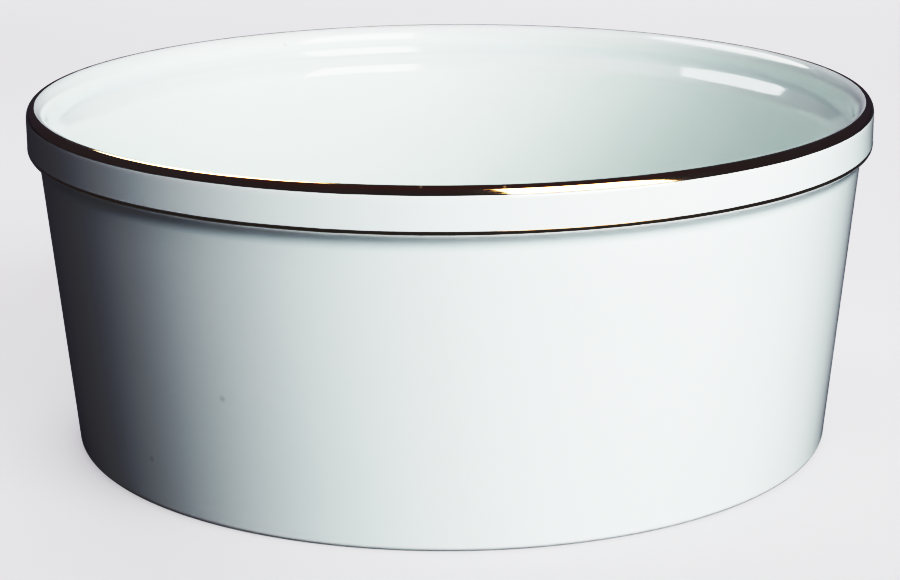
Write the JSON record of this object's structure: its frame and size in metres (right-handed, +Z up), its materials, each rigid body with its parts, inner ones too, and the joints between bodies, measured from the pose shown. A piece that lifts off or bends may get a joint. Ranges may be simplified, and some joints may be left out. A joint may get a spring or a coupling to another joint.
{
  "type": "souffle dish",
  "caption": "Round straight-sided porcelain baking dish with a raised collar round the rim, an inner ledge and a recessed foot.",
  "frame": {"origin": "middle of the plane that the foot ring stands on", "axes": "+Z up along the axis that the dish is turned about"},
  "size_m": [0.19, 0.19, 0.0774],
  "materials": {
    "porcelain": "gloss",
    "gilding": "polished",
    "bisque": "matt"
  },
  "bodies": {
    "root": {"dish": "porcelain"}
  },
  "joints": []
}
